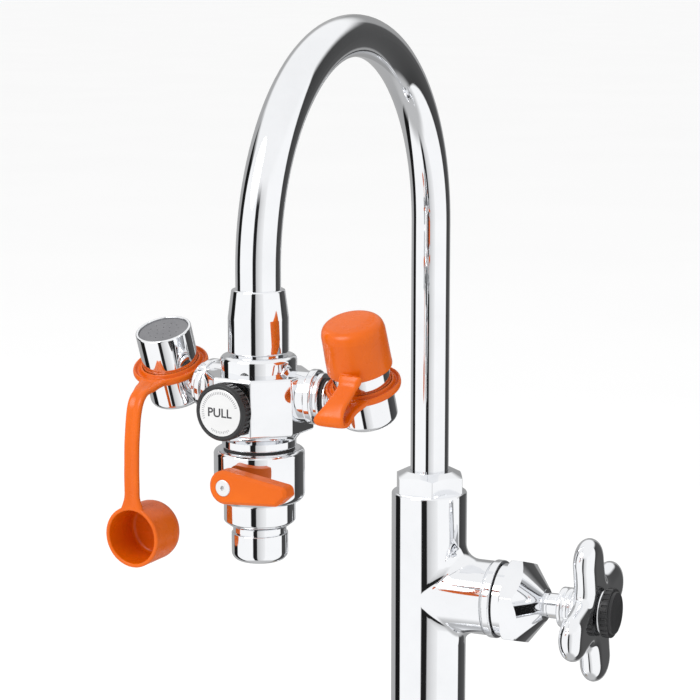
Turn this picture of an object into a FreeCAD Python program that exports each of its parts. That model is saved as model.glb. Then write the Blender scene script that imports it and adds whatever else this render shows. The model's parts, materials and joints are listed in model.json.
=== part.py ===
import FreeCAD, Part
import math
import os

# Laboratory deck faucet with a swinging gooseneck and a faucet-mounted eyewash on its outlet.
# Millimetres. The origin is on the column's axis at the counter top, +Z up. The gooseneck reaches
# towards -Y, where the user stands, and the shut-off valve branches off towards +X.

V = FreeCAD.Vector
X_AXIS = V(1, 0, 0)
Y_AXIS = V(0, 1, 0)
Z_AXIS = V(0, 0, 1)

# Clearances
RUN_FIT = 0.05            # radial play of a shaft in its bore
SOFT_GAP = 0.3            # space left around rubber pieces and between faces that pass each other
ORING_SQUEEZE = 0.1       # how far an o-ring stays short of the bore it seals

# Column, its base and the mounting hardware under the counter
COLUMN_OD = 33.9
COLUMN_HEIGHT = 146.0
COLUMN_RIM_ROUND = 1.2
COLUMN_BORE_R = 11.0      # upper bore that the gooseneck stands in
COLUMN_BORE_DEPTH = 28.0
GASKET_THICK = 2.0
FLANGE_OD = 54.0
FLANGE_THICK = 8.0
SHANK_R = 10.45           # G 1/2 thread, major diameter 20.9
SHANK_END_R = 10.3        # lead-in turned on the lower end
SHANK_END_LENGTH = 30.5
SHANK_RELIEF_R = 9.3        # groove between the lead-in and the thread
SHANK_RELIEF_WIDTH = 2.4
SHANK_CHAMFER = 0.8
SHANK_BORE_R = 7.0
SHANK_LENGTH = 62.0       # below the counter top
SHANK_ENGAGE = 14.0       # length screwed up into the column
INLET_R = 5.0
COUNTER_THICK = 20.0      # counter that the hardware is drawn clamping
WASHER_OD = 40.0
WASHER_THICK = 2.5
LOCKNUT_AF = 30.0
LOCKNUT_HEIGHT = 8.0

# Valve branch, measured along +X from the column's axis
BRANCH_HEIGHT = 99.5
BRANCH_OD = 33.4
BRANCH_LENGTH = 35.4
BRANCH_FILLET = 7.0
BRANCH_RING_OD = 35.0
BRANCH_RING_WIDTH = 3.8
BRANCH_RING_GROOVE = 0.8
CHAMBER_R = 12.0
CHAMBER_START = 14.0
SEAT_R = 6.5
SEAT_BORE_R = 4.0
SEAT_LENGTH = 8.0
SEAT_LIP = 1.5            # height of the seat's lip above the chamber floor
BONNET_WASHER_WIDTH = 0.8
BONNET_WASHER_INSET = 2.0   # washer's rim inside the branch's
BONNET_COLLAR_WIDTH = 4.2
BONNET_COLLAR_OD = 32.6
BONNET_AF = 35.0
BONNET_HEX_WIDTH = 6.6
BONNET_CONE_LENGTH = 9.6
BONNET_NOSE_R = 6.6
BONNET_ENGAGE = 10.0
BONNET_BORE_R = 8.2
BONNET_NOSE_WALL = 5.0
HOLDER_R = 7.6
HOLDER_LENGTH = 6.5
SEAT_WASHER_THICK = 3.0
PACKING_LENGTH = 4.0
STEM_R = 5.6
STEM_THREAD_R = 6.8
STEM_TRAVEL = 4.5         # rise over the handle's range
HUB_GAP = 7.0             # bare stem between the bonnet's nose and the handle's hub

# Four-lobe handle
HANDLE_D = 69.0
LOBE_WIDTH = 18.5
LOBE_THICK = 9.5
LOBE_ROUND = 4.2
HANDLE_HUB_R = 9.0
HANDLE_HUB_LENGTH = 9.0
HANDLE_CROWN_R = 10.5
HANDLE_CROWN_LENGTH = 1.8
HANDLE_TURN = 14.0        # degrees that the lobes stand round from upright at rest
BUTTON_R = 11.0
BUTTON_THICK = 5.0
BUTTON_RIBS = 24

# Gooseneck
TUBE_OD = 17.1            # 3/8 inch pipe
TUBE_WALL = 1.6
ARCH_RADIUS = 84.5
ARCH_HEIGHT = 267.0       # where the legs meet the arch
TUBE_INSERT = 24.0        # length of the rear leg inside the column
OUTLET_DROP = 17.6        # length of the front leg below the arch
NUT_AF = 28.3
NUT_HEX_HEIGHT = 6.8
NUT_CONE_HEIGHT = 2.8
NUT_THREAD_DEPTH = 8.0
SLIP_WASHER_THICK = 1.5
SWIVEL_COLLAR_R = 10.6
SWIVEL_COLLAR_HEIGHT = 4.0
ORING_R = 1.15

# Eyewash head. Its own frame has its origin on the outlet's axis at the height where the arch
# ends, z up, and -y towards the user. It is screwed on, a little round from the gooseneck's plane.
HEAD_TWIST = -5.0
ADAPTOR_TOP = -6.4
ADAPTOR_TOP_OD = 20.2
ADAPTOR_OD = 23.0
ADAPTOR_TAPER = 10.9
ADAPTOR_HEIGHT = 24.1
ADAPTOR_SPIGOT_R = 9.6
ADAPTOR_SPIGOT = 5.5
ADAPTOR_BORE_R = 6.4
HEAD_SEAT_GAP = 0.7       # shadow line between the adaptor and the head
COLLAR_OD = 29.0
COLLAR_HEIGHT = 6.6
BLOCK_AF = 38.6
BLOCK_HEIGHT = 22.0
BLOCK_ROUND = 1.4
NECK_OD = 28.2
NECK_HEIGHT = 6.6
NECK_SPIGOT_R = 12.5
NECK_SPIGOT = 3.6
WATERWAY_R = 5.0

# Diverter and pull knob
SPOOL_BORE_R = 6.5
SPOOL_DROP = 11.2         # spool axis below the block's top face
SPOOL_STEM_R = 3.0
SPOOL_TRAVEL = 8.0
BUSHING_LENGTH = 6.0
KNOB_OD = 21.4
KNOB_RIM_LENGTH = 6.0
KNOB_FACE = 27.6          # knob's face ahead of the outlet's axis
KNOB_DISC_R = 9.0
KNOB_DISC_THICK = 1.2
KNOB_RIBS = 36

# Arms and nozzles
ARM_DROP = 8.2            # arm axis below the block's top face
ARM_SWEEP = 9.0           # degrees that each arm leans back
ARM_R = 6.8
ARM_NECK_R = 3.8         # where the arm passes under the cap's ring
ARM_BORE_R = 2.8
ARM_RING_R = 10.4
ARM_RING_WIDTH = 3.2
ARM_STEP_R = 9.2
ARM_STEP_WIDTH = 2.4
ARM_ORING_WIDTH = 1.2
NOZZLE_SPREAD = 42.6      # nozzle axis to outlet axis, sideways
NOZZLE_TILT = 20.0
NOZZLE_R = 10.85
NOZZLE_WALL = 1.1
NOZZLE_LENGTH = 30.6
NOZZLE_ABOVE_ARM = 22.3   # nozzle's top above the arm's axis, along the nozzle
NOZZLE_FLOOR = 3.0
NOZZLE_ROUND = 2.4
INSERT_RECESS = 0.7
INSERT_THICK = 3.0
PORT_R = 0.25

# Rubber dust caps
CAP_WALL = 1.5
CAP_TOP = 2.6
CAP_DEPTH = 15.8
CAP_SEAT = 8.4            # length of nozzle inside a seated cap
CAP_ROUND = 3.6
RING_R = 14.0
RING_THICK = 3.4
RING_POSITION = 14.2      # ring's upper face below the nozzle's top
LUG_REACH = 2.4           # lug's front ahead of the ring's rim
STRAP_WIDTH = 6.6
STRAP_THICK = 2.2
LEFT_CAP_SHRINK = 0.8     # unstretched radius of the open cap, less than on its nozzle
STRAP_BEND_R = 11.2
STRAP_DROP = 33.0         # straight hanging length of the left strap
FOLD_AHEAD = 12.5         # fold of the right strap, ahead of the ring's rim
FOLD_DROP = 1.4           # fold below the strap's root
FOLD_GAP = 3.4            # between the middles of the folded strap's layers
FOLD_ROUND = 1.3

# Tap outlet under the head
HOUSING_R = 17.3
HOUSING_HEIGHT = 20.4
HOUSING_TOP_ROUND = 2.0
HOUSING_FOOT_ROUND = 3.4
HOUSING_BORE_R = 10.4
HOUSING_FLOOR = 2.6
HOUSING_GASKET = 0.7
BALL_R = 8.0
BALL_BORE_R = 4.5
BALL_DROP = 10.6          # ball's centre below the housing's top
SPINDLE_R = 3.4
LEVER_BOSS_R = 5.6
LEVER_BOSS_FACE = 19.2    # face of the spindle's boss ahead of the outlet's axis
LEVER_THICK = 6.4
LEVER_ROUND_R = 6.3
LEVER_REACH = 26.7
LEVER_TIP_TOP = 2.9         # upper corner of the tip above the pivot
LEVER_TIP_R = 2.2
LEVER_TIP_HEIGHT = 4.6
LEVER_EDGE = 1.1
LEVER_SCREW_R = 3.2
LEVER_SCREW_HEAD = 0.9
LEVER_SOCKET_R = 0.9
OUTLET_COLLAR_OD = 27.3
OUTLET_COLLAR_HEIGHT = 9.2
OUTLET_SPIGOT_R = 9.0
AERATOR_OD = 21.6
AERATOR_LENGTH = 13.0
AERATOR_ROUND = 3.2
AERATOR_BORE_R = 8.6
AERATOR_GROOVE = 0.9
AERATOR_SCREEN_THICK = 4.0

# Worked-out places on the faucet
SHANK_TOP = GASKET_THICK + FLANGE_THICK + SHANK_ENGAGE
TUBE_R = TUBE_OD / 2
REACH = 2 * ARCH_RADIUS
BONNET_START = BRANCH_LENGTH + BONNET_WASHER_WIDTH
HEX_START = BONNET_START + BONNET_COLLAR_WIDTH
HEX_END = HEX_START + BONNET_HEX_WIDTH
NOSE_X = HEX_END + BONNET_CONE_LENGTH
SEAT_FACE = CHAMBER_START + SEAT_LIP
HOLDER_POCKET = SEAT_FACE + SEAT_WASHER_THICK + 2.6
THREAD_START = BONNET_START
THREAD_END = NOSE_X - BONNET_NOSE_WALL
STEM_NECK_R = STEM_R - 1.2
HUB_X = NOSE_X + HUB_GAP
LOBE_X = HUB_X + HANDLE_HUB_LENGTH
CROWN_X = LOBE_X + LOBE_THICK
BUTTON_X = CROWN_X + HANDLE_CROWN_LENGTH

# Worked-out places on the eyewash head
ADAPTOR_FOOT = ADAPTOR_TOP - ADAPTOR_HEIGHT
COLLAR_TOP = ADAPTOR_FOOT - HEAD_SEAT_GAP
BLOCK_TOP = COLLAR_TOP - COLLAR_HEIGHT
BLOCK_FOOT = BLOCK_TOP - BLOCK_HEIGHT
NECK_FOOT = BLOCK_FOOT - NECK_HEIGHT
SPOOL_Z = BLOCK_TOP - SPOOL_DROP
ARM_Z = BLOCK_TOP - ARM_DROP
BLOCK_HALF = BLOCK_AF / 2
HOUSING_TOP = NECK_FOOT - HOUSING_GASKET
HOUSING_FOOT = HOUSING_TOP - HOUSING_HEIGHT
BALL_Z = HOUSING_TOP - BALL_DROP
LEVER_BACK = LEVER_BOSS_FACE + SOFT_GAP
LEVER_FACE = LEVER_BACK + LEVER_THICK
COLLAR_FOOT = HOUSING_FOOT - OUTLET_COLLAR_HEIGHT
AERATOR_TOP = COLLAR_FOOT - AERATOR_GROOVE
AERATOR_FOOT = AERATOR_TOP - AERATOR_LENGTH
CAP_R = NOZZLE_R + SOFT_GAP + CAP_WALL


# Shape helpers

def outline(corners, lift):
    """Closed wire through corners (u, v, radius), each corner rounded by its radius. lift turns
    (u, v) into a point."""
    count = len(corners)
    edges = []
    starts = []
    ends = []
    middles = []
    for i in range(count):
        u, v, radius = corners[i]
        before = V(corners[i - 1][0] - u, corners[i - 1][1] - v, 0)
        after = V(corners[(i + 1) % count][0] - u, corners[(i + 1) % count][1] - v, 0)
        before.normalize()
        after.normalize()
        here = V(u, v, 0)
        if radius <= 0:
            starts.append(here)
            ends.append(here)
            middles.append(None)
            continue
        half = before.getAngle(after) / 2
        back = radius / math.tan(half)
        inward = before + after
        inward.normalize()
        centre = here + inward * (radius / math.sin(half))
        starts.append(here + before * back)
        ends.append(here + after * back)
        middles.append(centre - inward * radius)
    for i in range(count):
        if middles[i] is not None:
            edges.append(Part.Arc(lift(starts[i]), lift(middles[i]), lift(ends[i])).toShape())
        following = starts[(i + 1) % count]
        if (following - ends[i]).Length > 1e-6:
            edges.append(Part.LineSegment(lift(ends[i]), lift(following)).toShape())
    return Part.Wire(edges)


def lathe(corners):
    """Solid turned about Z from a profile of (radius, height, corner round)."""
    wire = outline(corners, lambda p: V(p.x, 0, p.y))
    return Part.Face(wire).revolve(V(0, 0, 0), Z_AXIS, 360)


def slab(corners, thick):
    """Plate in the XY plane from a rounded outline, thick along +Z."""
    wire = outline(corners, lambda p: V(p.x, p.y, 0))
    return Part.Face(wire).extrude(V(0, 0, thick))


def tube(inner, outer, low, high, edge=0.0):
    """Plain ring about Z."""
    return lathe([(inner, low, 0), (outer, low, edge), (outer, high, edge), (inner, high, 0)])


def rod(radius, low, high):
    return Part.makeCylinder(radius, high - low, V(0, 0, low), Z_AXIS)


def prism(sides, across_flats, low, high, turn=0.0, edge=0.0):
    """Upright prism with one flat facing -Y before it is turned about Z."""
    corner = across_flats / 2 / math.cos(math.pi / sides)
    points = []
    for i in range(sides):
        angle = math.radians(turn - 90) + math.pi / sides + i * 2 * math.pi / sides
        points.append((corner * math.cos(angle), corner * math.sin(angle), edge))
    body = slab(points, high - low)
    body.translate(V(0, 0, low))
    return body


def placed(shape, position, rotation):
    shape = shape.copy()
    shape.Placement = FreeCAD.Placement(position, rotation).multiply(shape.Placement)
    return shape


def along_x(shape, z=0.0):
    """Turns a shape built about Z so that its axis lies along +X at height z."""
    return placed(shape, V(0, 0, z), FreeCAD.Rotation(Y_AXIS, 90))


def along_front(shape, z=0.0):
    """Turns a shape built about Z so that its axis lies along -Y at height z."""
    return placed(shape, V(0, 0, z), FreeCAD.Rotation(X_AXIS, 90))


def on_nozzle(shape, side):
    """Stands a shape on a nozzle's axis: z = 0 is the nozzle's top face, +z points out of it."""
    lean = math.radians(NOZZLE_TILT)
    crossing = V(NOZZLE_SPREAD, NOZZLE_SPREAD * math.tan(math.radians(ARM_SWEEP)), ARM_Z)
    top = crossing + V(0, -math.sin(lean), math.cos(lean)) * NOZZLE_ABOVE_ARM
    return placed(shape, V(side * top.x, top.y, top.z), FreeCAD.Rotation(X_AXIS, NOZZLE_TILT))


def on_arm(shape, side):
    """Lays a shape built about Z along an arm, starting from the outlet's axis."""
    sweep = math.radians(ARM_SWEEP)
    direction = V(side * math.cos(sweep), math.sin(sweep), 0)
    return placed(shape, V(0, 0, ARM_Z), FreeCAD.Rotation(Z_AXIS, direction))


def on_head(shape):
    """Moves a shape from the eyewash head's frame to the faucet's frame."""
    return placed(shape, V(0, -REACH, ARCH_HEIGHT), FreeCAD.Rotation(Z_AXIS, HEAD_TWIST))


# Base and column

def base_flange():
    return tube(SHANK_R + RUN_FIT, FLANGE_OD / 2, GASKET_THICK, GASKET_THICK + FLANGE_THICK, 2.0)


def deck_gasket():
    return tube(SHANK_R + SOFT_GAP, FLANGE_OD / 2 - 1.5, 0, GASKET_THICK)


def mounting_shank():
    end = SHANK_END_LENGTH - SHANK_LENGTH
    thread = end + SHANK_RELIEF_WIDTH
    return lathe([
        (SHANK_BORE_R, -SHANK_LENGTH, 0), (SHANK_END_R, -SHANK_LENGTH, SHANK_CHAMFER),
        (SHANK_END_R, end, 0), (SHANK_RELIEF_R, end, 0.3), (SHANK_RELIEF_R, thread, 0.3),
        (SHANK_R, thread, SHANK_CHAMFER),
        (SHANK_R, SHANK_TOP, SHANK_CHAMFER), (SHANK_BORE_R, SHANK_TOP, 0)])


def deck_washer():
    high = -COUNTER_THICK
    return tube(SHANK_R + SOFT_GAP, WASHER_OD / 2, high - WASHER_THICK, high, 0.4)


def deck_locknut():
    high = -COUNTER_THICK - WASHER_THICK
    nut = prism(6, LOCKNUT_AF, high - LOCKNUT_HEIGHT, high)
    return nut.cut(rod(SHANK_R, high - LOCKNUT_HEIGHT - 1, high + 1))


def branch_profile():
    """Outer profile of the valve branch with its groove and raised end ring."""
    radius = BRANCH_OD / 2
    ring = BRANCH_RING_OD / 2
    ring_start = BRANCH_LENGTH - BRANCH_RING_WIDTH
    groove = ring_start - BRANCH_RING_GROOVE
    return lathe([
        (0, 0, 0), (radius, 0, 0), (radius, groove, 0.3), (radius - 0.8, groove, 0),
        (radius - 0.8, ring_start, 0), (ring, ring_start, 0.7), (ring, BRANCH_LENGTH, 0.7),
        (0, BRANCH_LENGTH, 0)])


def column_body():
    """Column with its valve branch: water comes up the middle, crosses the seat in the branch
    and returns by a slanted passage to the bore under the gooseneck."""
    foot = GASKET_THICK + FLANGE_THICK
    column = lathe([
        (0, foot, 0), (COLUMN_OD / 2, foot, 0), (COLUMN_OD / 2, COLUMN_HEIGHT, COLUMN_RIM_ROUND),
        (0, COLUMN_HEIGHT, 0)])
    body = column.fuse(along_x(branch_profile(), BRANCH_HEIGHT)).removeSplitter()
    saddle = []
    for edge in body.Edges:
        box = edge.BoundBox
        on_column = abs(math.hypot(edge.CenterOfMass.x, 0)) < COLUMN_OD / 2
        if box.XMin > 1 and on_column and abs(box.Center.z - BRANCH_HEIGHT) < BRANCH_OD / 2:
            saddle.append(edge)
    body = body.makeFillet(BRANCH_FILLET, saddle)
    body = body.cut(rod(COLUMN_BORE_R, COLUMN_HEIGHT - COLUMN_BORE_DEPTH, COLUMN_HEIGHT + 1))
    body = body.cut(rod(SHANK_R, foot - 1, SHANK_TOP))
    body = body.cut(rod(INLET_R, SHANK_TOP - 1, BRANCH_HEIGHT))
    body = body.cut(along_x(rod(INLET_R, -INLET_R, CHAMBER_START + 1), BRANCH_HEIGHT))
    seat_pocket = rod(SEAT_R, SEAT_FACE - SEAT_LENGTH, CHAMBER_START + 1)
    body = body.cut(along_x(seat_pocket, BRANCH_HEIGHT))
    body = body.cut(along_x(rod(CHAMBER_R, CHAMBER_START, BRANCH_LENGTH + 1), BRANCH_HEIGHT))
    bore_floor = COLUMN_HEIGHT - COLUMN_BORE_DEPTH
    start = V(COLUMN_BORE_R - 5, 0, bore_floor + 2)
    end = V(CHAMBER_START + 6, 0, BRANCH_HEIGHT + CHAMBER_R - 3)
    passage = Part.makeCylinder(3.2, (end - start).Length, start, end - start)
    return body.cut(passage)


# Shut-off valve

def valve_seat():
    ring = tube(SEAT_BORE_R, SEAT_R, SEAT_FACE - SEAT_LENGTH, SEAT_FACE, 0.3)
    return along_x(ring, BRANCH_HEIGHT)


def bonnet_washer():
    ring = tube(CHAMBER_R, BRANCH_OD / 2 - BONNET_WASHER_INSET, BRANCH_LENGTH, BONNET_START)
    return along_x(ring, BRANCH_HEIGHT)


def bonnet():
    """Hexagon with a turned cone, screwed into the branch, bored for the stem and its packing."""
    corner = BONNET_AF / 2 / math.cos(math.pi / 6)
    cone = lathe([
        (0, HEX_START, 0), (corner - 1.2, HEX_START, 0), (corner + 0.2, HEX_START + 1.4, 0),
        (corner + 0.2, HEX_END - 0.6, 0), (BONNET_NOSE_R + 0.8, NOSE_X, 0.6), (0, NOSE_X, 0)])
    hexagon = prism(6, BONNET_AF, HEX_START, NOSE_X, turn=12.0, edge=0.6).common(cone)
    collar = rod(BONNET_COLLAR_OD / 2, BONNET_START, HEX_START)
    spigot = rod(CHAMBER_R, BONNET_START - BONNET_ENGAGE, BONNET_START)
    body = hexagon.fuse([collar, spigot])
    body = body.cut(rod(BONNET_BORE_R, BONNET_START - BONNET_ENGAGE - 1, THREAD_START))
    body = body.cut(rod(STEM_THREAD_R + RUN_FIT, THREAD_START - 1, THREAD_END))
    body = body.cut(rod(STEM_R + RUN_FIT, THREAD_END - 1, NOSE_X + 1))
    return along_x(body, BRANCH_HEIGHT).removeSplitter()


def stem_packing():
    """Packing ring in the bonnet, round the slim inner end of the stem."""
    high = THREAD_START - SOFT_GAP
    ring = tube(STEM_NECK_R + RUN_FIT, BONNET_BORE_R, high - PACKING_LENGTH, high)
    return along_x(ring, BRANCH_HEIGHT)


def valve_stem():
    """Threaded spindle: it carries the washer holder inside and the handle outside."""
    thread_start = THREAD_START + SOFT_GAP
    thread_end = THREAD_END - STEM_TRAVEL - SOFT_GAP
    body = lathe([
        (0, HOLDER_POCKET, 0), (STEM_NECK_R, HOLDER_POCKET, 0), (STEM_NECK_R, thread_start, 0),
        (STEM_THREAD_R, thread_start, 0.4), (STEM_THREAD_R, thread_end, 0.4), (STEM_R, thread_end, 0),
        (STEM_R, HUB_X, 0), (STEM_R - 1.0, HUB_X, 0), (STEM_R - 1.0, CROWN_X, 0), (0, CROWN_X, 0)])
    groove = tube(STEM_R - 0.7, STEM_R + 1, NOSE_X + 1.3, NOSE_X + 2.0)
    screw_hole = rod(1.6, CROWN_X - 12.0, CROWN_X + 1)
    return along_x(body.cut(groove).cut(screw_hole), BRANCH_HEIGHT)


def disc_holder():
    """Non-turning cup on the stem's inner end, which presses the rubber washer on the seat."""
    low = SEAT_FACE + SEAT_WASHER_THICK
    high = low + HOLDER_LENGTH
    cup = lathe([
        (0, low, 0), (HOLDER_R, low, 0.5), (HOLDER_R, high, 0.5), (STEM_NECK_R + RUN_FIT, high, 0),
        (STEM_NECK_R + RUN_FIT, HOLDER_POCKET, 0), (0, HOLDER_POCKET, 0)])
    screw_hole = rod(1.5, low - 1, low + 2.4)
    return along_x(cup.cut(screw_hole), BRANCH_HEIGHT)


def seat_washer():
    ring = tube(1.5, HOLDER_R, SEAT_FACE, SEAT_FACE + SEAT_WASHER_THICK, 0.4)
    return along_x(ring, BRANCH_HEIGHT)


def washer_screw():
    low = SEAT_FACE - 1.2
    body = lathe([
        (0, low, 0), (3.0, low, 0.5), (3.0, SEAT_FACE, 0), (1.5, SEAT_FACE, 0), (1.5, low + 6.0, 0),
        (0, low + 6.0, 0)])
    return along_x(body, BRANCH_HEIGHT)


def cross_handle():
    """Cast handle: a round hub, four rounded lobes and a low crown that holds the index button."""
    half = LOBE_WIDTH / 2
    tip = HANDLE_D / 2
    corners = []
    for quarter in range(4):
        turn = math.radians(90 * quarter)
        arm = [(half, half, 6.5), (tip, half, half - 0.4), (tip, -half, half - 0.4)]
        for u, v, radius in reversed(arm):
            corners.append((
                u * math.cos(turn) - v * math.sin(turn), u * math.sin(turn) + v * math.cos(turn),
                radius))
    lobes = slab(corners, LOBE_THICK)
    rims = [e for e in lobes.Edges if abs(e.BoundBox.ZLength) < 1e-6]
    lobes = lobes.makeFillet(LOBE_ROUND, rims)
    lobes.translate(V(0, 0, LOBE_X))
    hub = lathe([
        (0, HUB_X, 0), (HANDLE_HUB_R, HUB_X, 0.8), (HANDLE_HUB_R, LOBE_X + 1, 0), (0, LOBE_X + 1, 0)])
    for place in (0.35, 0.6):
        x = HUB_X + HANDLE_HUB_LENGTH * place
        hub = hub.cut(tube(HANDLE_HUB_R - 0.4, HANDLE_HUB_R + 1, x, x + 0.6))
    crown = lathe([
        (0, CROWN_X - 3, 0), (HANDLE_CROWN_R, CROWN_X - 3, 0), (HANDLE_CROWN_R, BUTTON_X, 0.6),
        (0, BUTTON_X, 0)])
    body = lobes.fuse([hub, crown])
    body = body.cut(rod(STEM_R - 1.0, HUB_X - 1, CROWN_X))
    body = body.cut(rod(2.6, CROWN_X - 0.1, BUTTON_X + 1))
    spun = placed(body, V(0, 0, 0), FreeCAD.Rotation(Z_AXIS, HANDLE_TURN))
    return along_x(spun, BRANCH_HEIGHT)


def handle_screw():
    head = lathe([
        (0, CROWN_X - 10.0, 0), (1.6, CROWN_X - 10.0, 0), (1.6, CROWN_X, 0), (2.5, CROWN_X, 0),
        (2.5, BUTTON_X - 0.1, 0.3), (0, BUTTON_X - 0.1, 0)])
    return along_x(head, BRANCH_HEIGHT)


def index_button():
    """Black plastic cap over the handle screw: ribbed rim, stepped face."""
    top = BUTTON_X + BUTTON_THICK
    button = lathe([
        (0, BUTTON_X, 0), (BUTTON_R, BUTTON_X, 0.4), (BUTTON_R, top - 1.2, 0.6),
        (BUTTON_R - 1.4, top - 1.2, 0), (BUTTON_R - 1.9, top, 0.5), (0, top, 0)])
    for i in range(BUTTON_RIBS):
        angle = 2 * math.pi * i / BUTTON_RIBS
        flute = Part.makeCylinder(
            0.5, BUTTON_THICK, V(BUTTON_R * math.cos(angle), BUTTON_R * math.sin(angle), BUTTON_X + 0.8))
        button = button.cut(flute)
    return along_x(button, BRANCH_HEIGHT)


# Gooseneck

def gooseneck_nut():
    """Hexagon gland nut screwed into the column's top, with a turned cone up to the tube."""
    corner = NUT_AF / 2 / math.cos(math.pi / 6)
    high = COLUMN_HEIGHT + NUT_HEX_HEIGHT
    top = high + NUT_CONE_HEIGHT
    cone = lathe([
        (0, COLUMN_HEIGHT, 0), (corner - 0.3, COLUMN_HEIGHT, 0), (corner + 0.1, COLUMN_HEIGHT + 0.5, 0),
        (corner + 0.1, high, 0), (TUBE_R + 2.4, top, 0.5), (0, top, 0)])
    nut = prism(6, NUT_AF, COLUMN_HEIGHT, top, turn=-3.0, edge=0.5).common(cone)
    nut = nut.fuse(rod(COLUMN_BORE_R, COLUMN_HEIGHT - NUT_THREAD_DEPTH, COLUMN_HEIGHT))
    return nut.cut(rod(TUBE_R + RUN_FIT, COLUMN_HEIGHT - NUT_THREAD_DEPTH - 1, top + 1))


def slip_washer():
    high = COLUMN_HEIGHT - NUT_THREAD_DEPTH
    return tube(TUBE_R + RUN_FIT, COLUMN_BORE_R, high - SLIP_WASHER_THICK, high)


def collar_top():
    return COLUMN_HEIGHT - NUT_THREAD_DEPTH - SLIP_WASHER_THICK - SOFT_GAP


def swivel_collar():
    """Ring brazed on the tube under the slip washer, which stops it pulling out."""
    high = collar_top()
    return tube(TUBE_R, SWIVEL_COLLAR_R, high - SWIVEL_COLLAR_HEIGHT, high, 0.3)


def swivel_orings():
    rings = []
    for drop in (2.2, 5.6):
        z = collar_top() - SWIVEL_COLLAR_HEIGHT - drop
        ring_radius = COLUMN_BORE_R - ORING_R - ORING_SQUEEZE
        rings.append(Part.makeTorus(ring_radius, ORING_R, V(0, 0, z), Z_AXIS))
    return Part.makeCompound(rings)


def gooseneck_tube():
    """One bent tube: rear leg, half-circle arch and front leg."""
    inner = TUBE_R - TUBE_WALL
    rear = tube(inner, TUBE_R, COLUMN_HEIGHT - TUBE_INSERT, ARCH_HEIGHT)
    ring = Part.Face([
        Part.Wire(Part.makeCircle(TUBE_R, V(0, 0, ARCH_HEIGHT), Z_AXIS)),
        Part.Wire(Part.makeCircle(inner, V(0, 0, ARCH_HEIGHT), Z_AXIS))])
    arch = ring.revolve(V(0, -ARCH_RADIUS, ARCH_HEIGHT), X_AXIS, 180)
    front = tube(inner, TUBE_R, ARCH_HEIGHT - OUTLET_DROP, ARCH_HEIGHT)
    front.translate(V(0, -REACH, 0))
    return rear.fuse([arch, front])


# Eyewash head

def outlet_adaptor():
    """Tapered coupling between the gooseneck's outlet and the head."""
    shoulder = ADAPTOR_TOP - ADAPTOR_TAPER
    spigot_foot = ADAPTOR_FOOT - ADAPTOR_SPIGOT
    return lathe([
        (TUBE_R, ADAPTOR_TOP, 0), (TUBE_R, -OUTLET_DROP, 0), (ADAPTOR_BORE_R, -OUTLET_DROP, 0),
        (ADAPTOR_BORE_R, spigot_foot, 0), (ADAPTOR_SPIGOT_R, spigot_foot, 0.4),
        (ADAPTOR_SPIGOT_R, ADAPTOR_FOOT, 0), (ADAPTOR_OD / 2, ADAPTOR_FOOT, 0.8),
        (ADAPTOR_OD / 2, shoulder, 1.2), (ADAPTOR_TOP_OD / 2, ADAPTOR_TOP, 0.8)])


def adaptor_gasket():
    high = ADAPTOR_FOOT - ADAPTOR_SPIGOT
    return tube(ADAPTOR_BORE_R, ADAPTOR_SPIGOT_R, high - 1.2, high)


def spool_back():
    """How far the spool bore runs behind the outlet's axis."""
    return BLOCK_HALF - 5.0


def eyewash_body():
    """Octagonal block with a round collar above and a round neck below. A cross bore holds the
    diverter, and two side bores feed the arms."""
    block = prism(8, BLOCK_AF, BLOCK_FOOT, BLOCK_TOP, edge=BLOCK_ROUND)
    rims = [e for e in block.Edges if abs(e.BoundBox.ZLength) < 1e-6]
    block = block.makeFillet(BLOCK_ROUND * 0.9, rims)
    collar = lathe([
        (0, BLOCK_TOP - 1, 0), (COLLAR_OD / 2, BLOCK_TOP - 1, 0), (COLLAR_OD / 2, COLLAR_TOP, 2.0),
        (0, COLLAR_TOP, 0)])
    neck = lathe([
        (0, NECK_FOOT - NECK_SPIGOT, 0), (NECK_SPIGOT_R, NECK_FOOT - NECK_SPIGOT, 0.4),
        (NECK_SPIGOT_R, NECK_FOOT, 0), (NECK_OD / 2, NECK_FOOT, 0.6), (NECK_OD / 2, NECK_FOOT + 3, 0),
        (BLOCK_HALF - 1.5, BLOCK_FOOT + 1, 0), (0, BLOCK_FOOT + 1, 0)])
    body = block.fuse([collar, neck])
    for side in (-1, 1):
        body = body.fuse(on_arm(rod(ARM_RING_R - 0.8, 8.0, arm_start()), side))
    socket_floor = ADAPTOR_FOOT - ADAPTOR_SPIGOT - 1.2
    body = body.cut(rod(ADAPTOR_SPIGOT_R, socket_floor, COLLAR_TOP + 1))
    body = body.cut(rod(WATERWAY_R, NECK_FOOT - NECK_SPIGOT - 1, socket_floor + 1))
    body = body.cut(along_front(rod(SPOOL_BORE_R, -spool_back(), BLOCK_HALF + 1), SPOOL_Z))
    for side in (-1, 1):
        body = body.cut(on_arm(rod(ARM_BORE_R, 0, BLOCK_AF), side))
    return body


def diverter_bushing():
    ring = tube(SPOOL_STEM_R + RUN_FIT, SPOOL_BORE_R, BLOCK_HALF - BUSHING_LENGTH, BLOCK_HALF + 0.6, 0.2)
    return along_front(ring, SPOOL_Z)


def land_front():
    """Front face of the spool's front land, one stroke behind the bushing."""
    return BLOCK_HALF - BUSHING_LENGTH - SPOOL_TRAVEL - SOFT_GAP


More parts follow.
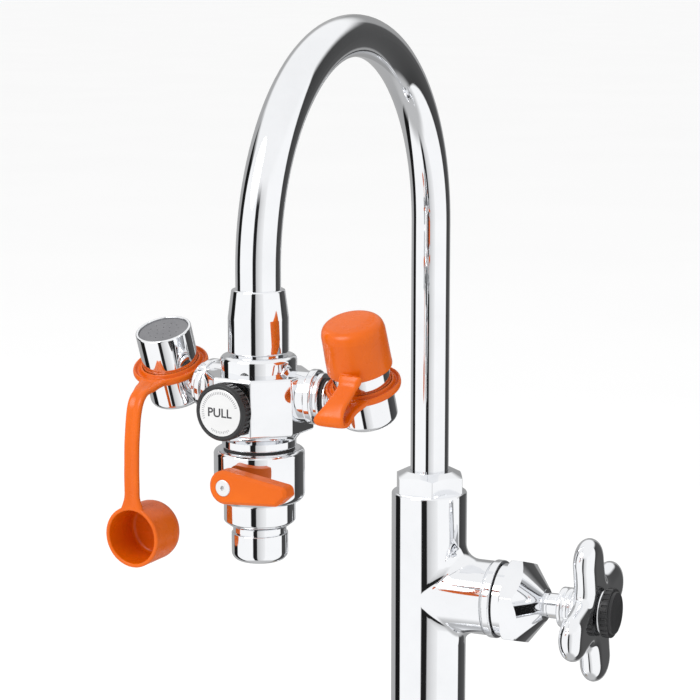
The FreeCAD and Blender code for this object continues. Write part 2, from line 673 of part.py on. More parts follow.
def diverter_stem():
    """Spool with two lands on a slim stem that carries the knob."""
    land = SPOOL_BORE_R - RUN_FIT
    front = land_front()
    back = -spool_back() + SOFT_GAP
    knob_socket = KNOB_FACE - KNOB_DISC_THICK - 0.8
    body = lathe([
        (0, back, 0), (land, back, 0.4), (land, back + 4.4, 0), (SPOOL_STEM_R, back + 4.4, 0),
        (SPOOL_STEM_R, front - 4.4, 0), (land, front - 4.4, 0), (land, front, 0.4),
        (SPOOL_STEM_R, front, 0), (SPOOL_STEM_R, knob_socket, 0), (0, knob_socket, 0)])
    for middle in (back + 2.2, front - 2.2):
        body = body.cut(tube(land - 1.6, land + 1, middle - 0.9, middle + 0.9))
    return along_front(body, SPOOL_Z)


def diverter_orings():
    land = SPOOL_BORE_R - RUN_FIT
    rings = []
    for middle in (-spool_back() + SOFT_GAP + 2.2, land_front() - 2.2):
        rings.append(tube(land - 1.6, land, middle - 0.9, middle + 0.9, 0.3))
    return along_front(Part.makeCompound(rings), SPOOL_Z)


def pull_knob():
    """Black ribbed grip with a recess for the white disc."""
    back = KNOB_FACE - KNOB_RIM_LENGTH
    outer = KNOB_OD / 2
    knob = lathe([
        (SPOOL_STEM_R, back, 0), (outer - 0.6, back, 0.6), (outer, back + 1.4, 0.3),
        (outer, KNOB_FACE - 0.8, 0.5), (outer - 0.8, KNOB_FACE, 0.3), (KNOB_DISC_R, KNOB_FACE, 0),
        (KNOB_DISC_R, KNOB_FACE - KNOB_DISC_THICK, 0), (SPOOL_STEM_R, KNOB_FACE - KNOB_DISC_THICK, 0)])
    for i in range(KNOB_RIBS):
        angle = 2 * math.pi * i / KNOB_RIBS
        flute = Part.makeCylinder(
            0.45, KNOB_RIM_LENGTH - 2.6, V(outer * math.cos(angle), outer * math.sin(angle), back + 1.3))
        knob = knob.cut(flute)
    return along_front(knob, SPOOL_Z)


def knob_disc():
    disc = lathe([
        (0, KNOB_FACE - KNOB_DISC_THICK, 0), (KNOB_DISC_R - 0.1, KNOB_FACE - KNOB_DISC_THICK, 0),
        (KNOB_DISC_R - 0.1, KNOB_FACE - 0.2, 0.2), (0, KNOB_FACE - 0.2, 0)])
    return along_front(disc, SPOOL_Z)


def arm_start():
    """Where an arm leaves the block's side flat, measured along the arm."""
    sweep = math.radians(ARM_SWEEP)
    return (BLOCK_HALF + ARM_RING_R * math.sin(sweep)) / math.cos(sweep)


def nozzle_envelope(side):
    return on_nozzle(rod(NOZZLE_R, -NOZZLE_LENGTH, 0), side)


def arm(side):
    """Side arm: a two-step ring against the block, a groove for a seal, then a plain tube that
    runs into the nozzle."""
    ring_end = arm_start() + ARM_RING_WIDTH
    step_end = ring_end + ARM_STEP_WIDTH
    groove_end = step_end + ARM_ORING_WIDTH
    reach = NOZZLE_SPREAD / math.cos(math.radians(ARM_SWEEP))
    neck = reach - RING_R - SOFT_GAP
    body = lathe([
        (ARM_BORE_R, arm_start(), 0), (ARM_RING_R, arm_start(), 0.8), (ARM_RING_R, ring_end, 0.8),
        (ARM_STEP_R - 0.9, ring_end, 0), (ARM_STEP_R - 0.9, ring_end + 0.5, 0),
        (ARM_STEP_R, ring_end + 0.5, 0.4), (ARM_STEP_R, step_end, 0.7), (ARM_R - 0.9, step_end, 0),
        (ARM_R - 0.9, groove_end, 0), (ARM_R, groove_end, 0.4), (ARM_R, neck, 1.6),
        (ARM_NECK_R, neck, 0.6), (ARM_NECK_R, reach, 0), (ARM_BORE_R, reach, 0)])
    return on_arm(body, side).cut(nozzle_envelope(side))


def arm_seals():
    start = arm_start() + ARM_RING_WIDTH + ARM_STEP_WIDTH
    rings = []
    for side in (-1, 1):
        rings.append(on_arm(tube(ARM_R - 0.9, ARM_R + 0.5, start, start + ARM_ORING_WIDTH, 0.3), side))
    return Part.makeCompound(rings)


def nozzle(side):
    """Cup-shaped eye nozzle, fed from its side, rounded below and open above for the insert."""
    inner = NOZZLE_R - NOZZLE_WALL
    cup = lathe([
        (0, -NOZZLE_LENGTH, 0), (NOZZLE_R, -NOZZLE_LENGTH, NOZZLE_ROUND), (NOZZLE_R, 0, 0.5),
        (inner, 0, 0.3), (inner, -NOZZLE_LENGTH + NOZZLE_FLOOR, 1.0), (0, -NOZZLE_LENGTH + NOZZLE_FLOOR, 0)])
    feed = on_arm(rod(ARM_BORE_R, BLOCK_AF / 2, NOZZLE_SPREAD), side)
    return on_nozzle(cup, side).cut(feed)


def spray_insert(side):
    inner = NOZZLE_R - NOZZLE_WALL
    high = -INSERT_RECESS
    disc = lathe([
        (0, high - INSERT_THICK, 0), (inner, high - INSERT_THICK, 0), (inner, high, 0.3), (0, high, 0)])
    ports = []
    for ring_radius, count in ((2.8, 6), (5.8, 12)):
        for i in range(count):
            angle = 2 * math.pi * i / count
            spot = V(ring_radius * math.cos(angle), ring_radius * math.sin(angle), high - INSERT_THICK - 1)
            ports.append(Part.makeCylinder(PORT_R, INSERT_THICK + 2, spot))
    return on_nozzle(disc.cut(ports), side)


# Rubber dust caps

def cap_solid(outer):
    """Cap about Z with its mouth at z = 0 facing down."""
    inner = outer - CAP_WALL
    top = CAP_DEPTH + CAP_TOP
    return lathe([
        (0, CAP_DEPTH, 0), (inner, CAP_DEPTH, 1.6), (inner, 0, 0), (outer, 0, 0.5), (outer, top, CAP_ROUND),
        (0, top, 0)])


def cap_ring(side):
    """Retaining ring stretched round the nozzle, with a lug at the front for the strap."""
    low = -RING_POSITION - RING_THICK
    ring = tube(NOZZLE_R + RUN_FIT, RING_R, low, -RING_POSITION, 1.0)
    lug = Part.makeBox(STRAP_WIDTH + 3.0, LUG_REACH + 1.2, STRAP_THICK + 0.2, V(
        -STRAP_WIDTH / 2 - 1.5, -RING_R - LUG_REACH, low + 0.3))
    return on_nozzle(ring.fuse(lug).removeSplitter(), side)


def strap_root():
    """Strap's starting point in the nozzle's own frame: (distance ahead of the axis, height)."""
    ahead = RING_R + LUG_REACH + SOFT_GAP + STRAP_THICK / 2
    return ahead, -RING_POSITION - RING_THICK + 0.4 + STRAP_THICK / 2


def left_root_point():
    """The left strap's starting point in the head's frame."""
    ahead, height = strap_root()
    marker = on_nozzle(Part.Vertex(0, -ahead, height), -1)
    return marker.BoundBox.Center


def band(path, x_middle):
    """Strap lying across X along a path of (y, z, bend radius) points. Its first end is rounded."""
    half = STRAP_THICK / 2
    last = len(path) - 1
    sides = {1: [], -1: []}
    for i, (y, z, radius) in enumerate(path):
        here = V(y, z, 0)
        ways = []
        if i > 0:
            ways.append((here - V(path[i - 1][0], path[i - 1][1], 0)).normalize())
        if i < last:
            ways.append((V(path[i + 1][0], path[i + 1][1], 0) - here).normalize())
        across = [V(-way.y, way.x, 0) for way in ways]
        middle = (across[0] + across[-1]).normalize()
        reach = half / middle.dot(across[0])
        turn = ways[0].cross(ways[-1]).z
        for side in (1, -1):
            spot = here + middle * (side * reach)
            if i == 0:
                spot = spot - ways[0] * half
                bend = half - 0.01
            else:
                bend = radius - half * side * math.copysign(1, turn) if 0 < i < last else 0
            sides[side].append((spot.x, spot.y, max(bend, 0)))
    corners = sides[1] + sides[-1][::-1]
    wire = outline(corners, lambda p: V(x_middle - STRAP_WIDTH / 2, p.x, p.y))
    return Part.Face(wire).extrude(V(STRAP_WIDTH, 0, 0))


def left_strap():
    """Strap that leaves the ring forwards, bends and hangs straight down to the cap."""
    root = left_root_point()
    front = root.y - STRAP_BEND_R
    foot = root.z - STRAP_BEND_R - STRAP_DROP
    return band([(root.y, root.z, 0), (front, root.z, STRAP_BEND_R), (front, foot, 0)], root.x)


def left_cap_centre():
    """The open cap's axis at its mouth, in the head's frame."""
    root = left_root_point()
    foot = root.z - STRAP_BEND_R - STRAP_DROP
    return V(root.x, root.y - STRAP_BEND_R - STRAP_THICK / 2, foot - (CAP_R - LEFT_CAP_SHRINK))


def left_cap():
    """Open cap hanging on the strap, with its mouth towards the user."""
    centre = left_cap_centre()
    outer = CAP_R - LEFT_CAP_SHRINK
    cap = placed(cap_solid(outer), centre, FreeCAD.Rotation(X_AXIS, -90))
    corner = centre + V(-STRAP_WIDTH / 2, 0, outer - 1.0)
    tab = Part.makeBox(STRAP_WIDTH, STRAP_THICK, 1.0, corner)
    return cap.fuse(tab).removeSplitter()


def right_cap():
    """Cap pushed over the right nozzle."""
    cap = cap_solid(CAP_R)
    cap.translate(V(0, 0, -CAP_SEAT))
    return on_nozzle(cap, 1)


def right_strap():
    """Strap of the seated cap: out from the ring to a fold, and back up to the cap's rim."""
    ahead, height = strap_root()
    fold = -RING_R - FOLD_AHEAD
    low = height - FOLD_DROP
    lean = FOLD_GAP * math.sqrt(0.5)
    rim = -CAP_R - SOFT_GAP - STRAP_THICK / 2
    path = [
        (-ahead, height, 0), (fold + lean, low, FOLD_ROUND), (fold, low + lean, FOLD_ROUND),
        (rim, 1.5 - CAP_SEAT, 0)]
    return on_nozzle(band(path, 0), 1)


# Tap outlet

def housing_gasket():
    return tube(NECK_SPIGOT_R + RUN_FIT, NECK_OD / 2 - 0.6, HOUSING_TOP, NECK_FOOT)


def valve_housing():
    """Round housing of the quarter-turn ball valve, with a boss for the lever's spindle."""
    body = lathe([
        (0, HOUSING_FOOT, 0), (HOUSING_R, HOUSING_FOOT, HOUSING_FOOT_ROUND),
        (HOUSING_R, HOUSING_TOP, HOUSING_TOP_ROUND), (0, HOUSING_TOP, 0)])
    body = body.fuse(along_front(rod(LEVER_BOSS_R, HOUSING_BORE_R + 2, LEVER_BOSS_FACE), BALL_Z))
    body = body.cut(rod(NECK_SPIGOT_R, HOUSING_TOP - NECK_SPIGOT + HOUSING_GASKET, HOUSING_TOP + 1))
    body = body.cut(rod(HOUSING_BORE_R, HOUSING_FOOT + HOUSING_FLOOR, HOUSING_TOP))
    body = body.cut(rod(OUTLET_SPIGOT_R, HOUSING_FOOT - 1, HOUSING_FOOT + HOUSING_FLOOR + 1))
    return body.cut(along_front(rod(SPINDLE_R + RUN_FIT, 0, LEVER_BOSS_FACE + 1), BALL_Z))


def ball_seats():
    """Plastic rings above and below the ball."""
    ball_room = Part.makeSphere(BALL_R + SOFT_GAP, V(0, 0, BALL_Z))
    neck_end = NECK_FOOT - NECK_SPIGOT
    upper = tube(WATERWAY_R, HOUSING_BORE_R, BALL_Z + 3.6, neck_end)
    lower = tube(WATERWAY_R, HOUSING_BORE_R, HOUSING_FOOT + HOUSING_FLOOR, BALL_Z - 3.6)
    return Part.makeCompound([upper.cut(ball_room), lower.cut(ball_room)])


def spindle_tongue():
    return Part.makeBox(4.0, 3.4, 4.0, V(-2.0, -BALL_R, BALL_Z - 2.0))


def valve_ball():
    """Ball with its waterway across the flow: the tap outlet is shut at rest."""
    ball = Part.makeSphere(BALL_R, V(0, 0, BALL_Z))
    bore = Part.makeCylinder(BALL_BORE_R, 4 * BALL_R, V(-2 * BALL_R, 0, BALL_Z), X_AXIS)
    return ball.cut(bore).cut(spindle_tongue())


def lever_spindle():
    """Spindle from the ball to the lever, with a square end in the lever."""
    shaft = along_front(rod(SPINDLE_R, BALL_R + 0.1, LEVER_BACK), BALL_Z)
    square = Part.makeBox(4.4, LEVER_THICK - 2.4, 4.4, V(-2.2, -LEVER_FACE + 2.4, BALL_Z - 2.2))
    return shaft.fuse([spindle_tongue(), square]).removeSplitter()


def lever():
    """Tapered lever: round at the pivot, sloping down to a blunt tip at the right."""
    round_r = LEVER_ROUND_R
    tip_low = -LEVER_TIP_HEIGHT
    slope = math.atan2(round_r - LEVER_TIP_TOP, LEVER_REACH)
    arc_top = V(round_r * math.sin(slope), round_r * math.cos(slope), 0)
    corners = [
        (LEVER_REACH, LEVER_TIP_TOP, LEVER_TIP_R), (LEVER_REACH + 0.4, -0.6, 1.2), (LEVER_REACH - 4.2, tip_low, 1.6),
        (0, -round_r, 0), (-round_r * 0.9999, -round_r, round_r * 0.985), (-round_r * 0.9999, round_r, round_r * 0.985),
        (arc_top.x, arc_top.y + 0.2, 0)]
    plate = slab(corners, LEVER_THICK)
    face_edges = [e for e in plate.Edges if e.BoundBox.ZMin > LEVER_THICK - 1e-3]
    plate = plate.makeChamfer(LEVER_EDGE, face_edges)
    upright = placed(plate, V(0, -LEVER_BACK, BALL_Z), FreeCAD.Rotation(X_AXIS, 90))
    square = Part.makeBox(4.4, LEVER_THICK - 2.4, 4.4, V(-2.2, -LEVER_FACE + 2.4, BALL_Z - 2.2))
    screw_seat = along_front(rod(LEVER_SCREW_R, LEVER_FACE - LEVER_SCREW_HEAD, LEVER_FACE + 1), BALL_Z)
    screw_hole = along_front(rod(1.5, LEVER_FACE - 3.0, LEVER_FACE), BALL_Z)
    return upright.cut(square).cut(screw_seat).cut(screw_hole)


def lever_screw():
    head = lathe([
        (0, LEVER_FACE - 2.4, 0), (1.5, LEVER_FACE - 2.4, 0), (1.5, LEVER_FACE - LEVER_SCREW_HEAD, 0),
        (LEVER_SCREW_R - 0.05, LEVER_FACE - LEVER_SCREW_HEAD, 0), (LEVER_SCREW_R - 0.05, LEVER_FACE + 0.2, 0.3),
        (0, LEVER_FACE + 0.2, 0)])
    socket = prism(6, 2 * LEVER_SOCKET_R, LEVER_FACE - 1.0, LEVER_FACE + 1)
    return along_front(head.cut(socket), BALL_Z)


def outlet_collar():
    """Stepped collar under the housing, threaded inside for the aerator."""
    outer = OUTLET_COLLAR_OD / 2
    spigot_top = HOUSING_FOOT + HOUSING_FLOOR
    return lathe([
        (WATERWAY_R, spigot_top, 0), (OUTLET_SPIGOT_R, spigot_top, 0), (OUTLET_SPIGOT_R, HOUSING_FOOT, 0),
        (outer, HOUSING_FOOT, 0.6), (outer, COLLAR_FOOT + 1.6, 1.0), (outer - 2.0, COLLAR_FOOT, 0.4),
        (AERATOR_BORE_R, COLLAR_FOOT, 0), (AERATOR_BORE_R, COLLAR_FOOT + 5.2, 0),
        (WATERWAY_R, COLLAR_FOOT + 5.2, 0)])


def aerator_shell():
    """Aerator body: a threaded spigot inside the collar, a lip and a rounded lower edge."""
    outer = AERATOR_OD / 2
    wall = 1.3
    return lathe([
        (outer - wall - 2.6, COLLAR_FOOT + 3.6, 0), (AERATOR_BORE_R, COLLAR_FOOT + 3.6, 0.3),
        (AERATOR_BORE_R, AERATOR_TOP + 0.2, 0), (outer - 0.6, AERATOR_TOP + 0.2, 0),
        (outer - 0.6, AERATOR_TOP - 1.7, 0), (outer - 1.1, AERATOR_TOP - 1.7, 0),
        (outer - 1.1, AERATOR_TOP - 2.2, 0), (outer, AERATOR_TOP - 2.2, 0.4),
        (outer, AERATOR_FOOT, AERATOR_ROUND), (outer - AERATOR_ROUND, AERATOR_FOOT, 0.2),
        (outer - wall - 2.6, AERATOR_FOOT + 1.6, 0.2)])


def aerator_screen():
    """Perforated insert set up inside the aerator's mouth."""
    radius = AERATOR_OD / 2 - 1.3 - 2.6
    low = AERATOR_FOOT + 2.4
    disc = rod(radius, low, low + AERATOR_SCREEN_THICK)
    ports = []
    for ring_radius, count in ((0.0, 1), (2.4, 6), (4.8, 12)):
        for i in range(count):
            angle = 2 * math.pi * i / count
            spot = V(ring_radius * math.cos(angle), ring_radius * math.sin(angle), low - 1)
            ports.append(Part.makeCylinder(0.6, AERATOR_SCREEN_THICK + 2, spot))
    return disc.cut(ports)


def aerator_washer():
    high = COLLAR_FOOT + 5.2
    return tube(WATERWAY_R, AERATOR_BORE_R, COLLAR_FOOT + 3.6, high)


def build():
    faucet = {
        "base_flange": base_flange(), "deck_gasket": deck_gasket(), "mounting_shank": mounting_shank(),
        "deck_washer": deck_washer(), "deck_locknut": deck_locknut(), "column_body": column_body(),
        "valve_seat": valve_seat(), "bonnet_washer": bonnet_washer(), "bonnet": bonnet(),
        "stem_packing": stem_packing(), "valve_stem": valve_stem(), "disc_holder": disc_holder(),
        "seat_washer": seat_washer(), "washer_screw": washer_screw(), "cross_handle": cross_handle(),
        "handle_screw": handle_screw(), "index_button": index_button(), "gooseneck_nut": gooseneck_nut(),
        "slip_washer": slip_washer(), "swivel_collar": swivel_collar(), "swivel_orings": swivel_orings(),
        "gooseneck_tube": gooseneck_tube()}
    head = {
        "outlet_adaptor": outlet_adaptor(), "adaptor_gasket": adaptor_gasket(), "eyewash_body": eyewash_body(),
        "diverter_bushing": diverter_bushing(), "diverter_stem": diverter_stem(),
        "diverter_orings": diverter_orings(), "pull_knob": pull_knob(), "knob_disc": knob_disc(),
        "arm_seals": arm_seals(), "left_strap": left_strap(), "left_cap": left_cap(),
        "right_cap": right_cap(), "right_strap": right_strap(), "housing_gasket": housing_gasket(),
        "valve_housing": valve_housing(), "ball_seats": ball_seats(), "valve_ball": valve_ball(),
        "lever_spindle": lever_spindle(), "lever": lever(), "lever_screw": lever_screw(),
        "outlet_collar": outlet_collar(), "aerator_shell": aerator_shell(),
        "aerator_screen": aerator_screen(), "aerator_washer": aerator_washer()}
    for name, side in (("left", -1), ("right", 1)):
        head[name + "_arm"] = arm(side)
        head[name + "_nozzle"] = nozzle(side)
        head[name + "_spray_insert"] = spray_insert(side)
        head[name + "_cap_ring"] = cap_ring(side)
    parts = dict(faucet)
    for name, shape in head.items():
        parts[name] = on_head(shape)
    return parts


os.makedirs("parts", exist_ok=True)
for node, solid in build().items():
    solid.exportStep("parts/" + node + ".step")
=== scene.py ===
import bmesh
import bpy
import json
import math
from mathutils import Matrix, Vector, noise


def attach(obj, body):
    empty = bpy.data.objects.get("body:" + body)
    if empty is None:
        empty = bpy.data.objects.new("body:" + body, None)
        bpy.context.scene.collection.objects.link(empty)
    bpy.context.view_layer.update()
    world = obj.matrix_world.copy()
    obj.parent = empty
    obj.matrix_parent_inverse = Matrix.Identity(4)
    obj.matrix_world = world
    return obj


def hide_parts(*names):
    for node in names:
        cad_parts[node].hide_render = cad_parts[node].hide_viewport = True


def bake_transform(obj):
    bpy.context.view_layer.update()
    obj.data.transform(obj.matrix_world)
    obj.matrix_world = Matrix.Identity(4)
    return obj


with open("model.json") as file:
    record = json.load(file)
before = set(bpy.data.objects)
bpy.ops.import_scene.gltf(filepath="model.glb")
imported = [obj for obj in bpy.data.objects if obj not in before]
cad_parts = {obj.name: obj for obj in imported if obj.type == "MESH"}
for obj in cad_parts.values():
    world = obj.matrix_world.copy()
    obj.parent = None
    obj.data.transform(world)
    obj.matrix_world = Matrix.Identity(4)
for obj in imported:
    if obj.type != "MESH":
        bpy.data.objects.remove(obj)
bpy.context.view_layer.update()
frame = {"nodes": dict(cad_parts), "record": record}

MM = 0.001

# Camera, in metres: a little to the right of the faucet's front, and above
CAMERA_AT = (0.3845, -0.9303, 0.3891)
CAMERA_TURN = math.radians(24.485)
CAMERA_PITCH = math.radians(10.10)
CAMERA_LENS = 118.29
CAMERA_SENSOR = 36.0
CAMERA_AZIMUTH = math.radians(22.45)    # its bearing from the column, where the stripes' zero is

# Floor and lamp, in metres
FLOOR_Z = -0.0622           # under the shank's end
FLOOR_HALF = 30.0
LAMP_AT = (-0.5, -1.1, 1.1)
LAMP_AIM = (0.0, -0.1, 0.2)
LAMP_SIZE = 0.8
LAMP_POWER = 9.0

# What the metal mirrors: a grey at each angle in degrees, then white above and grey below.
# The heights are the upward part of a direction, where the change starts and where it ends.
STRIPES = [
    (-180, 0.45), (-125, 0.42), (-123, 0.01), (-100, 0.01), (-98, 1.05), (-25, 1.05),
    (-23, 0.015), (-8, 0.015), (-6, 0.62), (8, 0.80), (24, 0.95), (26, 1.05), (103, 1.05),
    (105, 0.05), (148, 0.10), (152, 0.35)]
WHITE_ABOVE = (0.38, 0.60)
GREY_BELOW = (-0.80, -0.95)
GROUND_GREY = 0.55

# Finishes. Noise scales are in turns per metre, and the bump's depth is in metres.
SMUDGE_SCALE = 55.0
MOTTLE_SCALE = 70.0
GLOSS_SCALE = 180.0
FLOOR_SCALE = 3.0
BUMP_DEPTH = 0.0002
NOISE_RANGE = (0.3, 0.7)    # where nearly all of a noise lies

# Light and dark colour, roughness from and to, the grain's scale and its bump
METALS = {
    "chrome": ((0.90, 0.91, 0.93), (0.86, 0.87, 0.89), 0.025, 0.06, 260.0, 0.015),
    "brass": ((0.80, 0.58, 0.27), (0.62, 0.42, 0.18), 0.22, 0.40, 900.0, 0.08),
    "steel": ((0.62, 0.62, 0.61), (0.48, 0.48, 0.47), 0.20, 0.38, 1200.0, 0.10),
    "white_disc": ((0.93, 0.93, 0.93), (0.87, 0.87, 0.87), 0.34, 0.48, 2500.0, 0.10),
}

# The same, then the specular level where it isn't 0.5
MOULDED = {
    "orange_rubber": (
        (0.70, 0.122, 0.001), (0.63, 0.100, 0.001), 0.22, 0.34, 1500.0, 0.05, 0.30),
    "orange_plastic": (
        (0.70, 0.124, 0.001), (0.64, 0.104, 0.001), 0.34, 0.46, 2200.0, 0.10, 0.25),
    "seal_rubber": ((0.030, 0.030, 0.030), (0.018, 0.018, 0.018), 0.5, 0.7, 1500.0, 0.10),
    "black_plastic": ((0.022, 0.022, 0.024), (0.012, 0.012, 0.013), 0.28, 0.42, 1800.0, 0.08),
    "grey_plastic": ((0.19, 0.19, 0.20), (0.155, 0.155, 0.165), 0.55, 0.70, 2600.0, 0.15),
    "dark_ink": ((0.035, 0.035, 0.04), (0.025, 0.025, 0.03), 0.45, 0.6, 1500.0, 0.04),
    "grey_ink": ((0.42, 0.42, 0.43), (0.34, 0.34, 0.35), 0.45, 0.6, 1500.0, 0.04),
    "white_plastic": ((0.80, 0.80, 0.78), (0.72, 0.72, 0.70), 0.40, 0.55, 1500.0, 0.08),
}

# Places on the eyewash head, as in the CAD model, in millimetres
REACH = 169.0
ARCH_HEIGHT = 267.0
HEAD_TWIST = math.radians(-5.0)
HEAD = Matrix.Translation((0.0, -REACH, ARCH_HEIGHT)) @ Matrix.Rotation(HEAD_TWIST, 4, "Z")
NOZZLE_TOP = (42.6, -0.880, -25.045)
NOZZLE_TILT = math.radians(20.0)
SPOOL_Z = -49.0
KNOB_DISC_FACE = 27.4       # the knob's white disc, ahead of the head's axis

# Dust caps and their retaining rings, in millimetres
AXIS_R = 0.02               # the small circle that closes a turned skin on its axis
RING_BORE = 10.95           # the retaining ring's inner radius, on the nozzle
RING_FOOT = -17.6           # its lower face in the nozzle's frame
RING_SECTION = [            # share of its width, height above its lower face
    (0.0, 0.5), (0.0, 3.3), (0.10, 3.75), (0.22, 3.6), (0.31, 2.6), (0.42, 1.9), (0.54, 1.9),
    (0.66, 2.5), (0.78, 3.2), (0.92, 3.1), (1.0, 2.3), (1.0, 1.3), (0.90, 0.5), (0.72, 0.1),
    (0.4, 0.0), (0.1, 0.1)]
LEFT_RING_R = 14.6
RIGHT_RING_R = 14.0
CAP_DEPTH = 15.8
CAP_TOP = 18.4
CAP_ROUND = 3.6             # the crown's rounded edge
CAP_INNER_ROUND = 1.6
CAP_LIP_INNER = 0.35        # the mouth's two roundings
CAP_LIP_OUTER = 0.45
CAP_TAPER = 0.35
LEFT_CAP_R = 11.85
LEFT_CAP_WALL = 1.5
LEFT_CAP_MOUTH = (-42.6, -24.4, -102.3)
RIGHT_CAP_R = 12.15         # stretched on its nozzle
RIGHT_CAP_WALL = 1.15
RIGHT_CAP_RAISED = 0.8      # its crown, bulged by the nozzle
RIGHT_CAP_Z = -8.4

# Straps and the rubber's skin, in millimetres
STRAP_STEPS = 12            # between two points of a strap's line
STRAP_SIDES = 40
STRAP_SQUARED = (0.55, 0.6)  # powers below 1 square the section, across and up
GROOVE_SPREAD = 0.42        # share of the strap's half width
RIB_HEIGHT = 0.42
VOXEL = 0.3
SMOOTH_ROUNDS = 5
UNEVEN = 0.10
UNEVEN_SCALE = 0.11         # turns per millimetre
UNEVEN_SEED = 1             # unseeded, noise_vector starts from the clock

# Four-lobe handle, about the valve's axis, in millimetres
BRANCH_HEIGHT = 99.5
HANDLE_TURN = 14.0          # degrees
HANDLE_TIP = 34.5
HANDLE_CORE_R = 9.8
HANDLE_SIDES = 360
LOBE_HALF = 10.4
LOBE_BACK = 72.2
LOBE_THICK = 10.4
LOBE_ROUNDING = 6.2         # how far the rounded edge reaches inwards
LOBE_END = math.radians(22.9)   # from a lobe's middle to where its side takes over from its end
CORNER_POWER = 4.5          # lower fills the corners between two lobes more
HUB_PROFILE = [             # radius, distance from the column's axis: a hub with two grooves
    (AXIS_R, 63.6), (8.3, 63.6), (8.8, 63.8), (9.0, 64.3),
    (9.0, 66.2), (8.65, 66.4), (8.65, 66.8), (9.0, 67.0),
    (9.0, 68.9), (8.65, 69.1), (8.65, 69.5), (9.0, 69.7),
    (9.0, 71.0), (9.1, 71.6), (9.35, 72.0), (HANDLE_CORE_R, LOBE_BACK)]
BOSS_PROFILE = [
    (HANDLE_CORE_R, LOBE_BACK + LOBE_THICK), (9.6, 82.75), (9.45, 83.0), (9.4, 83.6),
    (9.1, 83.85), (AXIS_R, 83.85)]

# Knob's face, in millimetres
WORD_SIZE = 4.7
WORD_WIDTH = 10.2
WORD_DEPTH = 0.05
WORD_WEIGHT = 0.07
TICK_SPANS = ((20, 200), (240, 300))    # degrees
TICK_STEP = 6
TICK_START = 6.9
TICK_ENDS = (7.6, 7.9)      # every second one is shorter
TICK_HALF_WIDTH = 0.17
TICK_HALF_DEPTH = 0.05


def nozzle_place(side):
    """Frame of a nozzle within the head's: its top face is z = 0 and it leans ahead."""
    x, y, z = NOZZLE_TOP
    return Matrix.Translation((side * x, y, z)) @ Matrix.Rotation(NOZZLE_TILT, 4, "X")


def add(name, data):
    """A new object in the scene."""
    thing = bpy.data.objects.new(name, data)
    bpy.context.scene.collection.objects.link(thing)
    return thing


def evaluated(thing):
    """The mesh that an object's modifiers or letters come to."""
    graph = bpy.context.evaluated_depsgraph_get()
    return bpy.data.meshes.new_from_object(thing.evaluated_get(graph))


# Materials

class Nodes:
    """Adds nodes to a tree and joins them."""

    def __init__(self, tree):
        self.tree = tree

    def node(self, kind, **settings):
        node = self.tree.nodes.new(kind)
        for key, value in settings.items():
            setattr(node, key, value)
        return node

    def feed(self, socket, value):
        """Links another node's output to the socket, or sets the socket's own value."""
        if isinstance(value, bpy.types.NodeSocket):
            self.tree.links.new(value, socket)
        else:
            socket.default_value = value

    def calculated(self, operation, *values):
        node = self.node("ShaderNodeMath", operation=operation)
        for socket, value in zip(node.inputs, values):
            self.feed(socket, value)
        return node.outputs[0]

    def mixed(self, factor, first, second):
        """The first colour where factor is 0 and the second where it is 1."""
        node = self.node("ShaderNodeMix", data_type="RGBA")
        self.feed(node.inputs["Factor"], factor)
        for socket, colour in (("A", first), ("B", second)):
            self.feed(node.inputs[socket], (*colour, 1.0) if isinstance(colour, tuple) else colour)
        return node.outputs["Result"]

    def mapped(self, source, span, low=0.0, high=1.0, **settings):
        """The source becomes low at the span's start and high at its end."""
        node = self.node("ShaderNodeMapRange", **settings)
        self.feed(node.inputs["Value"], source)
        for socket, value in (
                ("From Min", span[0]), ("From Max", span[1]), ("To Min", low), ("To Max", high)):
            self.feed(node.inputs[socket], value)
        return node.outputs["Result"]


class Shader(Nodes):
    """A Principled material whose colour, roughness and bump come from noise."""

    def __init__(self, name, **values):
        self.material = bpy.data.materials.new(name)
        self.material.use_nodes = True
        super().__init__(self.material.node_tree)
        self.bsdf = self.tree.nodes["Principled BSDF"]
        for socket, value in values.items():
            self.bsdf.inputs[socket.replace("_", " ")].default_value = value
        self.coordinates = self.node("ShaderNodeTexCoord").outputs["Object"]

    def noise(self, scale, detail=2.0, rough=0.5):
        node = self.node("ShaderNodeTexNoise")
        for socket, value in (
                ("Vector", self.coordinates), ("Scale", scale), ("Detail", detail),
                ("Roughness", rough)):
            self.feed(node.inputs[socket], value)
        return node.outputs["Fac"]

    def colour(self, source, light, dark):
        share = self.mapped(source, NOISE_RANGE)
        self.feed(self.bsdf.inputs["Base Color"], self.mixed(share, light, dark))

    def rough(self, source, low, high):
        self.feed(self.bsdf.inputs["Roughness"], self.mapped(source, NOISE_RANGE, low, high))

    def bump(self, source, strength):
        node = self.node("ShaderNodeBump")
        for socket, value in (
                ("Height", source), ("Strength", strength), ("Distance", BUMP_DEPTH)):
            self.feed(node.inputs[socket], value)
        self.feed(self.bsdf.inputs["Normal"], node.outputs["Normal"])


def metal(name, light, dark, smooth, dull, grain, bump):
    """Metal with faint smudges: light and dark colours, smooth and dull roughness."""
    shader = Shader(name, Metallic=1.0)
    smudge = shader.noise(SMUDGE_SCALE, 3.0, 0.6)
    shader.colour(smudge, light, dark)
    shader.rough(smudge, smooth, dull)
    shader.bump(shader.noise(grain), bump)
    return shader.material


def moulded(name, light, dark, low, high, grain, bump, gloss=0.5):
    """Moulded rubber or plastic: mottled colour, uneven gloss and a fine skin."""
    shader = Shader(name, Specular_IOR_Level=gloss)
    shader.colour(shader.noise(MOTTLE_SCALE, 4.0, 0.6), light, dark)
    shader.rough(shader.noise(GLOSS_SCALE), low, high)
    shader.bump(shader.noise(grain, 3.0), bump)
    return shader.material


def paint(thing, material):
    thing.data.materials.clear()
    thing.data.materials.append(material)


# Moulded rubber: one mesh for the left ring, strap and cap, two for the right

